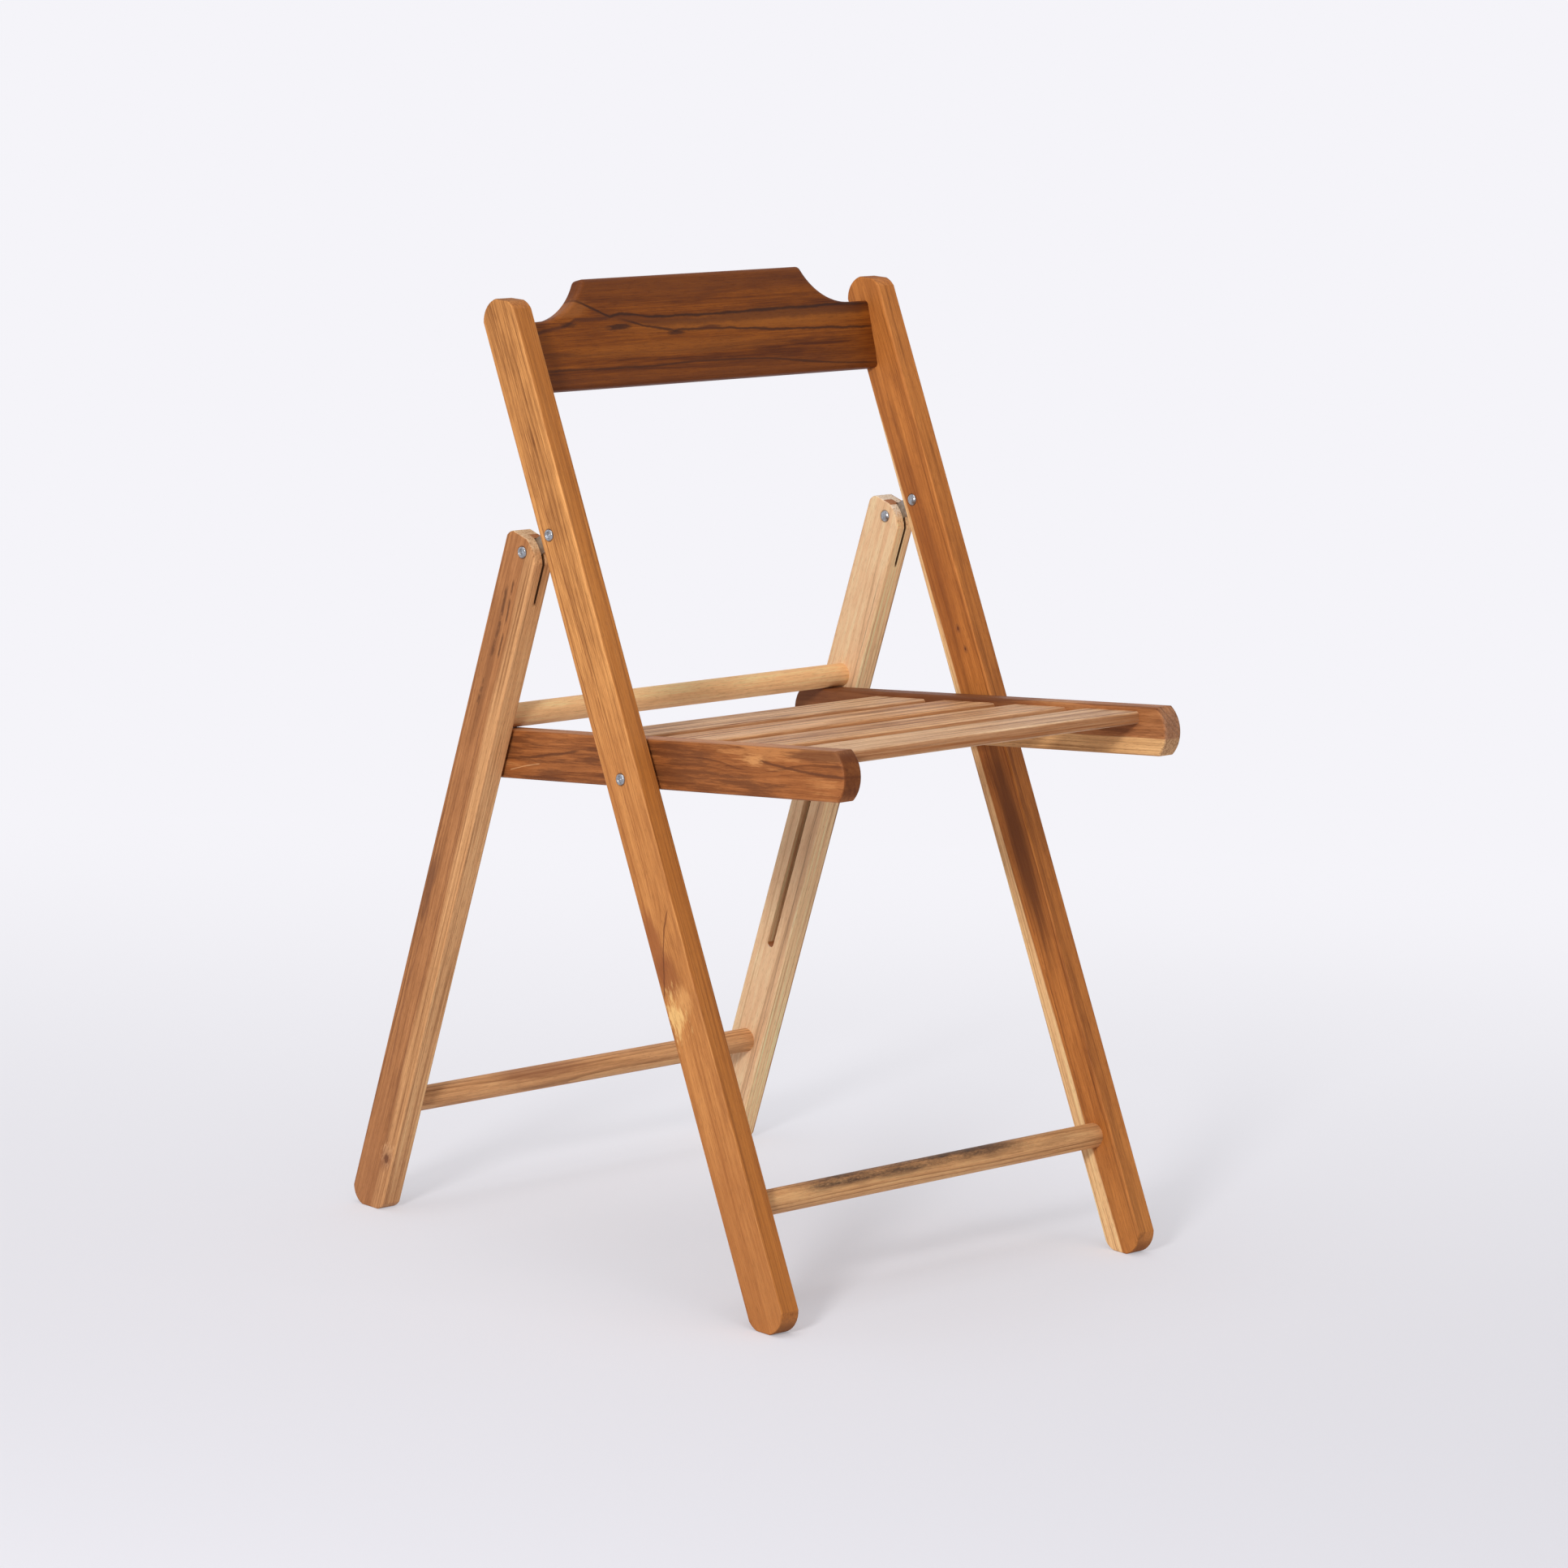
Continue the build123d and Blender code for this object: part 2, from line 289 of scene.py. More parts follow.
def facing(board, axis, way=0):
    """1 on faces that look along one of the board's directions, both ways or only the way given."""
    normal = Wire(board.place.socket.node.outputs["Normal"])
    lean = normal.node("VectorMath", {0: normal, 1: board.axes[axis]}, "Value", operation="DOT_PRODUCT")
    return smooth(lean * way if way else abs(lean), *FACING_LEAN)


print("Half as bright, white wood is", darker(srgb(255, 255, 255), 0.5))

# %% [markdown]
# ## A board of oiled hardwood
# Over the rings lie broad bands of colour, long streaks, fine fibres, and short open pores that hold
# dark dust. Some years carry a mineral line that is nearly black. Sawn ends drink more oil and turn
# darker. Handled edges are rubbed pale, and the same pale edge is also a painted highlight where the eased
# edges catch the light. Bands, streaks, fibres and pores are noises drawn out along the grain. Laid over
# each other as colours they would turn muddy, so all but the pores are first added, with the rings, to
# one tone, which a colour ramp turns into wood. The fibres and pores are also a fine relief under the
# satin oil.

# %% Mix one board's wood
PLAIN_TONE = 0.53  # where plain wood lies on the ramp from deep to pale
BAND_SHARE = 0.7  # how strongly bands, mottle and fibres move the tone
MOTTLE_SHARE = 0.45
FIBRE_SHARE = 0.85
DUST_SHARE = 0.42  # how dark the dust in the pores is
PALE_EDGE_START = 1.8  # millimetres from an edge to where its pale wear and painted highlight start and where they are full
PALE_EDGE_FULL = 0.6
OIL_ROUGHNESS = 0.44
PORE_DEPTH = 0.0004  # metres


def worn_and_lit_edges(board, half):
    """1 along the long edges of a board, whose half width and half thickness are given: wear and painted
    highlight.
    """
    beside = smooth(abs(board.across), half[0] - PALE_EDGE_START, half[0] - PALE_EDGE_FULL)
    return beside * smooth(abs(board.through), half[1] - PALE_EDGE_START, half[1] - PALE_EDGE_FULL)


def wood(name, tone, seed, pith=(34, 70), ring=4.2, bend=9, figure=1.0, streaks=0.4, lines=0.22,
         mineral=0.25, half=None, sawn=0.3, swirls=(), marks=()):
    """Dresses one CAD node in wood cut from its own board.

    The pith's place, the rings' width and their bend are in millimetres. Figure, streaks, lines and
    mineral say how strong each kind of grain is. Where half is given the edges are painted pale, as wear
    and as painted highlight, and sawn says how dark the ends are.
    """
    material, shader, place = blank(name + "_wood")
    board = Board(place, name, seed)
    late, luck = ring_lines(board, pith, ring, bend, swirls)
    band = board.noise(420, 14)
    mottle = board.noise(40, 11, 4.0, 0.6)
    streak = board.noise(260, 3.4, 3.0, 0.6)
    fibre = board.noise(42, 0.9, 4.0, 0.65)
    pores = smooth(board.noise(7, 0.34, 1.0), 0.56, 0.72)
    depth = (band - 0.5) * BAND_SHARE + (mottle - 0.5) * MOTTLE_SHARE
    depth = depth + (streak - 0.5) * streaks + (fibre - 0.5) * FIBRE_SHARE
    depth = PLAIN_TONE + depth * figure - late * (luck * 0.9 + 0.1) * lines
    stops = [(0.1, darker(tone, 0.4)), (0.5, tone), (0.92, darker(tone, 1.55))]
    colour = depth.node("ValToRGB", {"Fac": depth}, stops=stops)
    dark_year = smooth(luck, 0.7, 0.78) * smooth(late, 0.5, 0.9)
    stained = dark_year * smooth(board.noise(120, 9), 0.46, 0.58)
    colour = tint(stained * mineral, colour, darker(tone, 0.14))
    for mark in marks:
        colour = mark(board, colour)
    colour = tint(pores * DUST_SHARE, colour, darker(tone, 0.45))
    if half:
        pale_edge = worn_and_lit_edges(board, half) * smooth(fibre, 0.4, 0.6)
        # pale long edges: wear, and painted highlight where the eased edges catch the light
        colour = tint(pale_edge * 0.3, colour, darker(tone, 1.5))
    ends = facing(board, "along")
    colour = tint(ends * sawn, colour, darker(tone, 0.35))
    rough = OIL_ROUGHNESS + fibre * 0.2 + pores * 0.15 + ends * 0.15
    height = fibre * 0.5 - pores - late * 0.2
    relief = height.node("Bump", {"Strength": 0.35, "Distance": PORE_DEPTH, "Height": height}, "Normal")
    plug(shader, Base_Color=colour, Roughness=rough, Normal=relief, Specular_IOR_Level=0.2)
    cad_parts[name].material_slots[0].material = material
    print(name, "grain", board.axes["along"].round(3), "nodes", len(material.node_tree.nodes))


print("Pores are", PORE_DEPTH * MILLIMETRES, "mm deep")

# %% [markdown]
# ## Marks that one board has and the next has not
# The boards differ more by their marks than by their grain. Marks could be painted on, but a painting
# stops at an edge, and a mark that is worked out inside the board runs round it. So each mark is a
# small function that is given the board and its colour so far, and lays one more colour over it where
# the mark is. The broadest marks are pale sapwood along one side, another tone on the faces that look
# one way, which on some boards is the wood's own and on others painted light or shade, and a slow change
# of tone.

# %% Sapwood, faces and shades


def grained(board, tone):
    """A tone that fine fibres make paler and deeper."""
    grain = board.noise(140, 1.6, 4.0, 0.6)
    stops = [(0.3, darker(tone, 0.5)), (0.5, tone), (0.72, darker(tone, 1.32))]
    return grain.node("ValToRGB", {"Fac": grain}, stops=stops)


def sapwood(axis, limit, soft, tone, climb=0.0):
    """Pale young wood past a limit across or through the board; climb widens it along the grain."""
    def lay(board, colour):
        side = getattr(board, axis) * np.sign(limit)
        border = side + board.along * climb + (board.noise(90, 16) - 0.5) * 3 * soft
        pale = grained(board, tone)
        return tint(smooth(border, abs(limit) - soft, abs(limit) + soft), colour, pale)
    return lay


def face(axis, way, tone, strength):
    """Another tone on the faces that look one way: the wood's own, such as a sawn end, or painted light or
    shade.
    """
    return lambda board, colour: tint(facing(board, axis, way) * strength, colour, grained(board, tone))


def shade(axis, low, high, tone, strength):
    """A slow change of colour along one direction of the board, full past high."""
    def lay(board, colour):
        where = getattr(board, axis) + (board.noise(70, 9, 3.0) - 0.5) * abs(high - low)
        return tint(smooth(where, low, high) * strength, colour, tone)
    return lay


print("Broad marks:", [mark.__name__ for mark in (sapwood, face, shade)])

# %% [markdown]
# ## Veins
# A vein is a dark line where minerals settled in the growing tree. Rings can't place it, because it
# wanders on its own. So it runs through a few places that are given along and across the board: a colour
# ramp joins them into a path, and noise makes the path sway, thin out and break.

# %% Veins that sway and break
VEIN_SPAN = 60  # millimetres either side of a board's middle that a vein may reach


def vein(points, width, tone, strength=0.8, sway=3.0, gaps=0.3):
    """A dark line through places along and across the board; it sways, thins out and breaks in gaps."""
    start, end = points[0][0], points[-1][0]
    stops = [((along - start) / (end - start), ((across + VEIN_SPAN) / (2 * VEIN_SPAN),) * 3 + (1,))
             for along, across in points]

    def lay(board, colour):
        run = (board.along - start) / (end - start)
        path = run.node("ValToRGB", {"Fac": run}, stops=stops) * (2 * VEIN_SPAN) - VEIN_SPAN
        line = path + (board.noise(34, 60, 6.0, 0.66) - 0.5) * 2 * sway
        thin = board.noise(22, 12, 5.0, 0.7)
        away = abs(board.across - line) / (thin * 2 * width)
        reach = smooth(run, -0.02, 0.06) * smooth(run, 1.02, 0.94) * smooth(thin, gaps, gaps + 0.1)
        return tint(smooth(away, 1.0, 0.15) * reach * strength, colour, tone)
    return lay


print("Veins reach", VEIN_SPAN, "mm either side")

# %% [markdown]
# ## Patches and knots
# Where the fibres lean or a twig is buried, the wood shows a spot of another colour. A clean ellipse would
# look painted on, so noise with the grain frays its border. A knot is two such spots, a soft brown ring
# and a small dark eye.

# %% Patches with frayed borders


def patch(place, size, tone, strength, ragged=1.0, firm=0.5):
    """A spot of another colour with a ragged border; firm is where inside it the colour is full."""
    def lay(board, colour):
        far = (board.along - place[0]) / size[0]
        wide = (board.across - place[1]) / size[1]
        grain = (board.noise(size[0] / 2, size[1] / 5, 4.0, 0.6) - 0.5) * 2
        away = board.place.sum("SQRT", far * far + wide * wide) + grain * ragged
        return tint(smooth(away, 1.0, firm) * strength, colour, tone)
    return lay


def knot(place, size, tone):
    """A small dark knot with a soft brown ring."""
    ring = patch(place, (size * 3.4, size * 2.1), darker(tone, 1.8), 0.5, ragged=0.6, firm=0.4)
    eye = patch(place, (size * 1.3, size * 0.85), tone, 0.85, ragged=0.6, firm=0.5)
    return lambda board, colour: eye(board, ring(board, colour))


print("Spots:", [mark.__name__ for mark in (patch, knot)])

# %% [markdown]
# ## Painted shade round the rivets
# Where a rivet's head meets the wood, a thin dark line is painted as contact shade. A ring could be
# painted at a typed-in place, but the frame knows where the rivets are, so each ring is measured from
# the middle of its rivet's box.

# %% Find the rivets
rivet_low, rivet_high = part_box("front_hinge_rivet_left")
HEAD_RADIUS = round((rivet_high.y - rivet_low.y) / 2 * MILLIMETRES, 1)
RIVET_SHADE_WIDTH = 1.1
# colour of the painted contact shade round the rivets' heads
rivet_shade_colour = srgb(66, 40, 26)


def painted_rivet_shade(*rivets):
    """A thin dark ring round each rivet's head: painted contact shade."""
    def lay(board, colour):
        for rivet in rivets:
            low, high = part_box(rivet)
            middle = (low + high) / 2
            gap = board.place.node("VectorMath", {0: board.place, 1: middle}, operation="SUBTRACT")
            flat = gap.node("VectorMath", {0: gap, 1: (0, MILLIMETRES, MILLIMETRES)}, operation="MULTIPLY")
            away = flat.node("VectorMath", {0: flat}, "Value", operation="LENGTH")
            # painted contact shade where the head meets the wood
            colour = tint(smooth(away, HEAD_RADIUS + RIVET_SHADE_WIDTH, HEAD_RADIUS) * 0.75, colour, rivet_shade_colour)
        return colour
    return lay


print("A rivet's head has a radius of", HEAD_RADIUS, "mm")

# %% [markdown]
# ## Front legs
# The two front legs are the longest boards, golden brown and straight in the grain. The sitter's right
# one has a swirl below the seat, where the rings close round a buried twig: a red brown tongue with a
# pale shimmer under it. Its front face is painted darker, as painted shade. The left one has two pin
# knots, a paler strip of sapwood on its rear edge that widens to the foot, and a deeper brown by the
# hinge and below the seat, where it is partly darker wood and partly painted shadow of the seat. Both
# have painted shade on the walls of the saw cut that takes the hinge link. A pair of legs could share one
# wood, but then the same knots would show twice, so each is a board of its own with its own seed, pith
# and marks.

# %% Dress the front legs
leg_half = (20, 10)  # half a leg's width and thickness, in millimetres
KERF_HALF = 1.3  # half the width of the saw cuts for the hinge links
# colour of the painted shade on the saw cuts' walls
kerf_shade = srgb(70, 40, 22)


def shaded_saw_cut(board, colour):
    """Painted shade on the walls of the saw cut that takes the hinge link."""
    wall = smooth(abs(board.through), KERF_HALF + 0.5, KERF_HALF + 0.2) * facing(board, "through")
    return tint(wall * 0.9, colour, kerf_shade)


leg_line = srgb(132, 74, 34)
wood("front_leg_right", srgb(196, 132, 72), seed=3.1, pith=(48, 34), ring=4.6, figure=1.45, streaks=0.22,
     lines=0.12, half=leg_half, sawn=0.6,
     swirls=[(-132, -2, 34, 9, 16), (-176, 6, 22, 7, -7)],
     marks=[
         vein([(330, 6), (100, 2), (20, 2), (-50, 1), (-82, 3)], 0.8, leg_line, 0.75, sway=1.5, gaps=0.36),
         vein([(300, 13), (120, 15), (-60, 13), (-110, 15)], 0.8, leg_line, 0.7, sway=1.2, gaps=0.32),
         vein([(-190, -6), (-260, -3), (-370, 4)], 0.8, leg_line, 0.5, sway=2.0, gaps=0.42),
         shade("along", 130, 20, srgb(186, 116, 58), 0.5),
         shade("along", -250, -330, srgb(168, 102, 50), 0.45),
         patch((-116, 14), (40, 13), srgb(150, 84, 42), 0.75, ragged=0.4, firm=0.5),
         patch((-141, 7), (24, 15), srgb(144, 80, 40), 0.7, ragged=0.45, firm=0.45),
         vein([(-90, -13), (-104, -3), (-122, 5), (-158, 18)],
              1.3, srgb(104, 54, 26), 0.8, sway=0.8, gaps=0.15),
         patch((-164, -4), (18, 12), srgb(222, 160, 96), 0.7, ragged=0.7, firm=0.2),
         patch((-174, 10), (22, 14), srgb(240, 192, 122), 0.85, ragged=1.7, firm=0.1),
         # the front face painted darker: painted shade
         face("across", -1, srgb(174, 104, 42), 0.75),
         shaded_saw_cut,
         painted_rivet_shade("front_hinge_rivet_right", "seat_pivot_rivet_right"),
     ])
wood("front_leg_left", srgb(184, 112, 51), seed=11.7, pith=(-60, 22), ring=3.8, streaks=0.16, lines=0.12,
     half=leg_half, sawn=0.4,
     marks=[
         shade("across", 4, 14, srgb(160, 94, 44), 0.5),
         # dark brown below the seat: partly darker wood, partly painted shadow of the seat
         patch((-80, -6), (150, 15), srgb(96, 48, 16), 0.85, ragged=0.3, firm=0.3),
         patch((185, 0), (120, 15), srgb(142, 76, 30), 0.5, ragged=0.4, firm=0.3),
         shade("along", -300, -400, srgb(206, 142, 76), 0.2),
         vein([(330, 4), (200, -2), (60, 4), (-30, 6)], 3.0, srgb(140, 80, 36), 0.5, sway=3.0, gaps=0.35),
         vein([(-120, 6), (-240, 3), (-380, 2)], 1.0, srgb(132, 74, 32), 0.6, sway=1.5, gaps=0.35),
         sapwood("across", 12, 0.8, srgb(238, 188, 132), climb=-0.018),
         knot((113, -4), 1.6, srgb(92, 48, 26)),
         knot((94, -6), 1.4, srgb(92, 48, 26)),
         shaded_saw_cut,
         painted_rivet_shade("front_hinge_rivet_left", "seat_pivot_rivet_left"),
     ])

# %% [markdown]
# ## Rear legs
# The right rear leg is reddish brown with a paler front strip, a broken mineral vein in its upper
# third and a knot near the foot. The left one was sawn from the outside of the log: it is pale sapwood
# with a grey line near its front edge, and browner only on its outer face; its front face is painted paler,
# as painted light. The tops of both are painted pale, as painted light on tops that fall in shade, and a
# router burnt the walls of the groove that guides the seat. A groove or a pale top could be cut out as
# another material, but a mark finds it by its place in the board or the way it faces.

# %% Dress the rear legs
GROOVE_HALF = 4.3  # half the groove's width, in millimetres
GROOVE_SKIN = 0.4  # how far below the face its walls turn dark
GROOVE_DEPTH = 10  # how far below the face they stay dark
scorched = srgb(172, 102, 50)


def burnt_groove(inner):
    """Scorched wood in the guide groove, below the inner face on the side that inner gives."""
    def lay(board, colour):
        below = leg_half[1] - board.through * inner
        slot = smooth(abs(board.across), GROOVE_HALF + 0.4, GROOVE_HALF) * smooth(below, GROOVE_SKIN, 1.2)
        slot = slot * smooth(below, GROOVE_DEPTH + 2, GROOVE_DEPTH)
        return tint(slot * 0.9, colour, scorched)
    return lay


mineral_dark = srgb(84, 50, 28)
wood("rear_leg_right", srgb(172, 113, 67), seed=21.3, pith=(70, 30), ring=3.6, half=leg_half, sawn=0.0,
     marks=[
         sapwood("across", -8, 3.0, srgb(202, 146, 95)),
         vein([(262, 6), (225, 4), (190, 5), (150, 8)], 2.6, mineral_dark, 0.8, sway=2.0, gaps=0.45),
         vein([(270, 0), (240, -2), (200, -3)], 1.4, mineral_dark, 0.75, sway=1.5, gaps=0.42),
         patch((190, 5), (90, 6), srgb(128, 78, 44), 0.5, ragged=0.6, firm=0.3),
         patch((-16, 13), (44, 7), srgb(110, 66, 42), 0.7, ragged=0.8, firm=0.3),
         vein([(150, -2), (0, -4), (-260, -5)], 0.8, srgb(128, 78, 48), 0.6, sway=1.5, gaps=0.35),
         vein([(-30, 8), (-110, 12), (-200, 9)], 1.6, srgb(124, 74, 46), 0.5),
         face("across", -1, srgb(232, 176, 122), 0.6),
         shade("along", -160, -340, srgb(168, 112, 72), 0.4),
         patch((-263, -12), (13, 9), srgb(232, 178, 126), 0.7, ragged=1.4, firm=0.2),
         knot((-267, -12), 4.4, srgb(104, 58, 34)),
         # the top painted pale: painted light on a top that falls in shade
         face("along", 1, srgb(236, 194, 150), 0.9),
         burnt_groove(-1),
         shaded_saw_cut,
         painted_rivet_shade("rear_hinge_rivet_right"),
     ])
wood("rear_leg_left", srgb(232, 188, 144), seed=29.9, pith=(-40, -52), ring=4.4, figure=0.6, streaks=0.3,
     lines=0.15, mineral=0.1, half=leg_half, sawn=0.0,
     marks=[
         vein([(250, -15), (0, -14), (-300, -15)], 0.7, srgb(150, 112, 86), 0.6, sway=1.0),
         vein([(60, 13), (-100, 11), (-300, 12)], 1.4, srgb(190, 140, 98), 0.5, sway=1.5),
         # the front face painted paler: painted light
         face("across", -1, srgb(255, 208, 154), 0.9),
         # the top painted pale: painted light on a top that falls in shade
         face("along", 1, srgb(255, 230, 200), 1.0),
         sapwood("through", -8, 1.0, srgb(190, 134, 88)),
         burnt_groove(1),
         shaded_saw_cut,
         painted_rivet_shade("rear_hinge_rivet_left"),
     ])

# %% [markdown]
# ## Back rail
# The back rail was cut from old heartwood, far darker than the rest. Two mineral veins cross it below
# the scooped corners with a paler band between them. The upper one starts in the right scoop, falls to
# a fork beside a dark patch, and runs on to the other end, and a third is faint along the lower edge.
# Rings alone would never give that figure, so the veins are drawn through a few chosen places.

# %% Dress the back rail
ink = srgb(46, 20, 8)
umber = srgb(82, 40, 16)
wood("back_rail", srgb(124, 64, 14), seed=37.4, pith=(30, 90), ring=5.0, bend=16, figure=1.5, lines=0.2,
     mineral=0.2,
     marks=[
         shade("across", 20, 44, srgb(98, 50, 20), 0.6),
         shade("across", -20, -40, srgb(104, 54, 20), 0.6),
         patch((60, 7), (190, 11), srgb(160, 94, 34), 0.6, ragged=0.35, firm=0.3),
         patch((-146, 26), (26, 10), srgb(156, 94, 44), 0.6, ragged=0.5, firm=0.4),
         patch((-40, -12), (170, 9), srgb(150, 86, 30), 0.5, ragged=0.4, firm=0.3),
         vein([(-120, 20), (-60, 11), (-10, 9), (60, 10), (206, 11)], 6.0, umber, 0.6, sway=3.0, gaps=0.25),
         vein([(-146, 35), (-127, 28), (-102, 17), (-90, 19), (-56, 15), (-13, 14), (50, 14), (113, 15),
               (206, 15)], 2.0, ink, 0.88, sway=2.0, gaps=0.1),
         vein([(-92, 15), (-68, 8), (-31, 2), (0, 2), (34, 1), (98, -3), (146, -4), (206, -6)],
              1.7, ink, 0.8, sway=2.4, gaps=0.15),
         vein([(-196, 5), (-183, 7), (-153, 11), (-141, 16), (-102, 16)],
              2.6, umber, 0.9, sway=2.4, gaps=0.2),
         patch((-93, 8), (17, 3.4), ink, 0.85, ragged=0.8, firm=0.5),
         patch((-149, 12), (12, 3.0), ink, 0.6, ragged=0.8, firm=0.4),
         patch((-30, 0), (12, 2.2), ink, 0.75, ragged=0.8, firm=0.5),
         patch((10, 3), (18, 2.4), umber, 0.8, ragged=0.8, firm=0.4),
         vein([(-190, -25), (-103, -26), (-61, -27), (-11, -25), (71, -27), (148, -35), (206, -38)],
              1.5, srgb(62, 30, 12), 0.8, sway=1.2, gaps=0.25),
     ])

# %% [markdown]
# ## Seat rails
# The rails are reddish and restless, with flames of gold and brown where the fibres dip in and out of
# the face. One noise alone would give either clouds or hairs, so a slow one and a fine one are added.
# The right rail has a pale swirl near its nose, with a dark vein from there to the end. The left one
# shows pale sapwood along its lower half, and growth rings on its rounded nose.

# %% Dress the seat rails
rail_half = (20.5, 10)  # millimetres


def flames(gold, brown, strength):
    """Ragged flames of gold and brown along the face, where the fibres dip."""
    def lay(board, colour):
        wave = board.noise(120, 22)
        dip = board.noise(34, 3.0, 6.0, 0.7)
        flame = wave * 0.62 + dip * 0.38
        colour = tint(smooth(flame, 0.51, 0.62) * strength, colour, gold)
        return tint(smooth(flame, 0.5, 0.4) * strength, colour, brown)
    return lay


rail_gold = srgb(198, 132, 76)
rail_brown = srgb(98, 54, 28)
wood("seat_rail_right", srgb(160, 95, 48), seed=43.8, pith=(-36, -48), ring=5.2, bend=18, half=rail_half,
     sawn=0.7,
     swirls=[(-120, 6, 30, 10, 9)],
     marks=[
         flames(rail_gold, rail_brown, 0.75),
         patch((-190, 14), (50, 7), rail_brown, 0.7, ragged=0.6),
         patch((-22, -12), (30, 8), rail_brown, 0.6, ragged=0.7),
         patch((-116, 8), (16, 6), srgb(216, 152, 92), 0.7, ragged=0.9, firm=0.3),
         vein([(-122, 9), (-128, 7), (-152, 3), (-180, 0), (-222, -2)],
              1.8, rail_brown, 0.85, sway=2.0, gaps=0.2),
         vein([(90, 6), (150, -2), (215, -8)], 2.0, srgb(74, 38, 20), 0.7, sway=2.0, gaps=0.3),
         vein([(178, -14), (160, -10), (140, -7)], 0.7, srgb(214, 160, 110), 0.7, sway=0.6, gaps=0.2),
         face("across", 1, srgb(190, 134, 92), 0.5),
         painted_rivet_shade("seat_pivot_rivet_right"),
     ])
wood("seat_rail_left", srgb(164, 104, 60), seed=51.2, pith=(26, 30), ring=4.0, bend=8, lines=0.5,
     half=rail_half, sawn=0.1,
     marks=[
         flames(srgb(196, 136, 84), srgb(108, 62, 34), 0.6),
         shade("along", -120, 0, srgb(104, 58, 30), 0.75),
         sapwood("across", -5, 1.4, srgb(218, 168, 112), climb=0.012),
         face("along", -1, srgb(178, 138, 110), 0.45),
         painted_rivet_shade("seat_pivot_rivet_left"),
     ])

# %% [markdown]
# ## Seat slats
# The four slats are paler and pinker than the rails, with brown streaks, and their edges are painted
# darker, mostly as painted shade in the gaps between them. One wood on all four would show the same grain
# four times in a row. So a loop makes every slat another board, numbered from the front, with its own
# seed, its own place in the log and its own tone.

# %% Dress the slats
slat_half = (31, 5.2)  # millimetres
slat_edge_shade = srgb(166, 104, 56)
slat_streak = srgb(130, 76, 42)
slat_pale = srgb(230, 186, 142)


def long_streaks(tone, length, width, low, high, strength):
    """Long soft streaks with the grain, where a noise is above low."""
    def lay(board, colour):
        band = board.noise(length, width, 5.0, 0.6)
        return tint(smooth(band, low, high) * strength, colour, tone)
    return lay


slat_tones = [srgb(210, 164, 122), srgb(210, 158, 112), srgb(204, 150, 102), srgb(212, 166, 124)]
for count, slat_tone in enumerate(slat_tones, start=1):
    wood(f"seat_slat_{count}", slat_tone, seed=60.0 + 7.3 * count,
         pith=(18 * (-1) ** count, -40 - 6 * count), ring=5.4, bend=12, figure=1.5, streaks=0.6, lines=0.3,
         half=slat_half,
         marks=[
             long_streaks(slat_pale, 340, 11, low=0.5, high=0.62, strength=0.6),
             long_streaks(slat_streak, 300, 4, low=0.52, high=0.64, strength=0.9),
             # both long edges painted darker: painted shade in the gaps between the slats
             face("across", -1, slat_edge_shade, 0.7),
             face("across", 1, slat_edge_shade, 0.7),
         ])

# %% [markdown]
# ## Rungs
# The three rungs were turned from straight sticks. The stop rung is almost straw coloured, the rear one
# is tan with a redder stretch, and the front one is grey and nearly black along part of its top, where
# shoes have rested. A grey stripe would look painted on, so that bloom is a cloud of noise, kept to the
# top by its height above the rung's middle.

# %% Dress the rungs
RUNG_TOP = 4.0  # millimetres above the middle of a rung
bloom_grey = srgb(58, 43, 36)


def weathered_top(board, colour):
    """Dark grey bloom along the top of a rung, soft and speckled, deepest on the sitter's right."""
    up = board.place.node("SeparateXYZ", {0: board.place}, output=2)
    high = (up - board_axes("front_rung")[0][2]) * MILLIMETRES + (board.noise(50, 9, 3.0) - 0.5) * 8
    cloud = board.noise(70, 12) * 0.72 + board.noise(4, 1.0, 3.0, 0.7) * 0.28
    reach = smooth(board.along, -175, -125) * smooth(board.along, 200, 40)
    bloom = smooth(cloud, 0.3, 0.54) * reach * smooth(high, RUNG_TOP - 3, RUNG_TOP + 3)
    return tint(bloom * 0.95, colour, bloom_grey)


wood("front_rung", srgb(216, 160, 106), seed=91.6, pith=(14, 22), ring=3.4, figure=0.8, streaks=0.2,
     marks=[weathered_top])
wood("rear_rung", srgb(222, 164, 111), seed=97.2, pith=(20, -26), ring=3.6, figure=0.8, streaks=0.3,
     marks=[patch((-57, 7), (75, 7), srgb(140, 86, 58), 0.6, ragged=0.5, firm=0.3)])
wood("stop_rung", srgb(245, 191, 134), seed=103.5, pith=(-24, 18), ring=4.2, figure=0.6, streaks=0.25,
     lines=0.1, mineral=0.05)

# %% [markdown]
# ## Rivets, links and pins
# The rivets are bright zinc plated steel, the flat links in their saw cuts and the spacers are brushed
# steel, and the guide pins are bare wire. One flat grey would look like plastic, because steel clouds
# and is scuffed where it was set. So an even noise varies its tone, and a second noise, drawn out along
# the links and the pins, varies its gloss.

# %% Dress the metal
SCUFF_DEPTH = 0.0002  # metres
CLOUD_LENGTH = 3  # millimetres


def sides(*names):
    """Both sides' node names."""
    return [f"{name}_{side}" for name in names for side in ("left", "right")]


